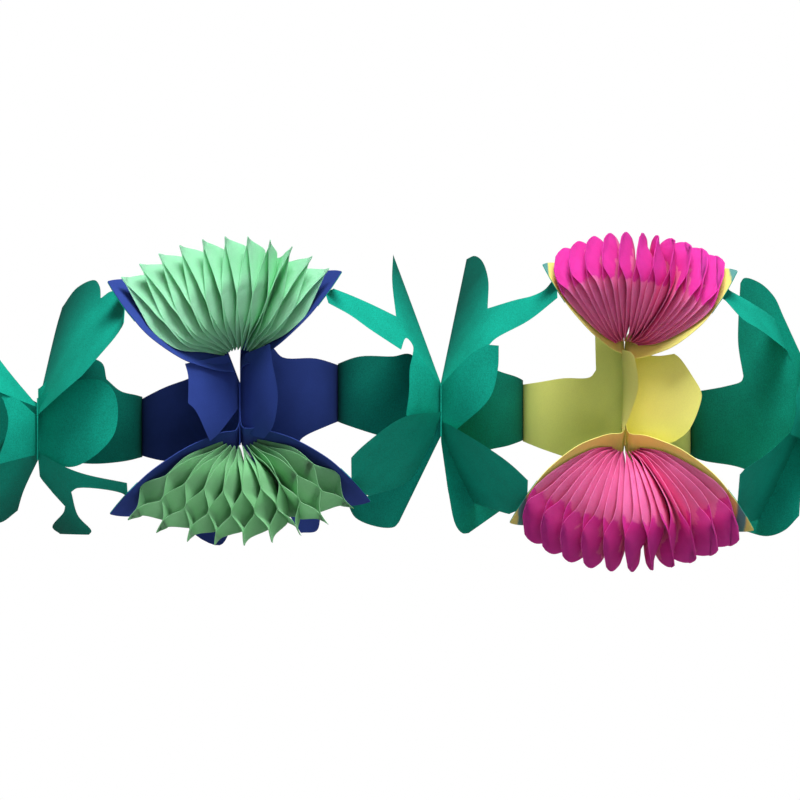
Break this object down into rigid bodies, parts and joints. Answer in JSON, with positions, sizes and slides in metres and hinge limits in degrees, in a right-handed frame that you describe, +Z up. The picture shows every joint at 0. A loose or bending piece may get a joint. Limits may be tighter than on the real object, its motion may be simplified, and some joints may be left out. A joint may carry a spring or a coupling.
{
  "type": "paper bunting",
  "caption": "Paper flower garland: die-cut lobed sheets glued in a chain, with fan-shaped honeycomb blossoms standing between the lobes.",
  "frame": {"origin": "on the garland's level axis, at the pinch line where the two left-hand outer sheets are glued back to back", "axes": "+X along the garland, +Z up, and the viewer on the -Y side, where the free front petals point"},
  "size_m": [0.5946, 0.1625, 0.1998],
  "materials": {
    "green_paper": "smooth paper with a fine grain",
    "blue_paper": "smooth paper",
    "yellow_paper": "smooth paper",
    "mint_tissue": "thin honeycomb paper",
    "pink_tissue": "thin honeycomb paper"
  },
  "bodies": {
    "root": {"green_outer_left": "green_paper", "green_left": "green_paper", "blue_left": "blue_paper", "blue_right": "blue_paper", "green_middle_left": "green_paper", "green_middle_right": "green_paper", "yellow_left": "yellow_paper", "yellow_right": "yellow_paper", "green_right": "green_paper", "green_outer_right": "green_paper", "mint_top_cell_01": "mint_tissue", "mint_top_cell_02": "mint_tissue", "mint_top_cell_03": "mint_tissue", "mint_top_cell_04": "mint_tissue", "mint_top_cell_05": "mint_tissue", "mint_top_cell_06": "mint_tissue", "mint_top_cell_07": "mint_tissue", "mint_top_cell_08": "mint_tissue", "mint_top_cell_09": "mint_tissue", "mint_top_cell_10": "mint_tissue", "mint_top_cell_11": "mint_tissue", "mint_bottom_cell_01": "mint_tissue", "mint_bottom_cell_02": "mint_tissue", "mint_bottom_cell_03": "mint_tissue", "mint_bottom_cell_04": "mint_tissue", "mint_bottom_cell_05": "mint_tissue", "mint_bottom_cell_06": "mint_tissue", "mint_bottom_cell_07": "mint_tissue", "mint_bottom_cell_08": "mint_tissue", "mint_bottom_cell_09": "mint_tissue", "pink_top_cell_01": "pink_tissue", "pink_top_cell_02": "pink_tissue", "pink_top_cell_03": "pink_tissue", "pink_top_cell_04": "pink_tissue", "pink_top_cell_05": "pink_tissue", "pink_top_cell_06": "pink_tissue", "pink_top_cell_07": "pink_tissue", "pink_top_cell_08": "pink_tissue", "pink_top_cell_09": "pink_tissue", "pink_top_cell_10": "pink_tissue", "pink_top_cell_11": "pink_tissue", "pink_bottom_cell_01": "pink_tissue", "pink_bottom_cell_02": "pink_tissue", "pink_bottom_cell_03": "pink_tissue", "pink_bottom_cell_04": "pink_tissue", "pink_bottom_cell_05": "pink_tissue", "pink_bottom_cell_06": "pink_tissue", "pink_bottom_cell_07": "pink_tissue", "pink_bottom_cell_08": "pink_tissue", "pink_bottom_cell_09": "pink_tissue", "pink_bottom_cell_10": "pink_tissue", "pink_bottom_cell_11": "pink_tissue"}
  },
  "joints": []
}
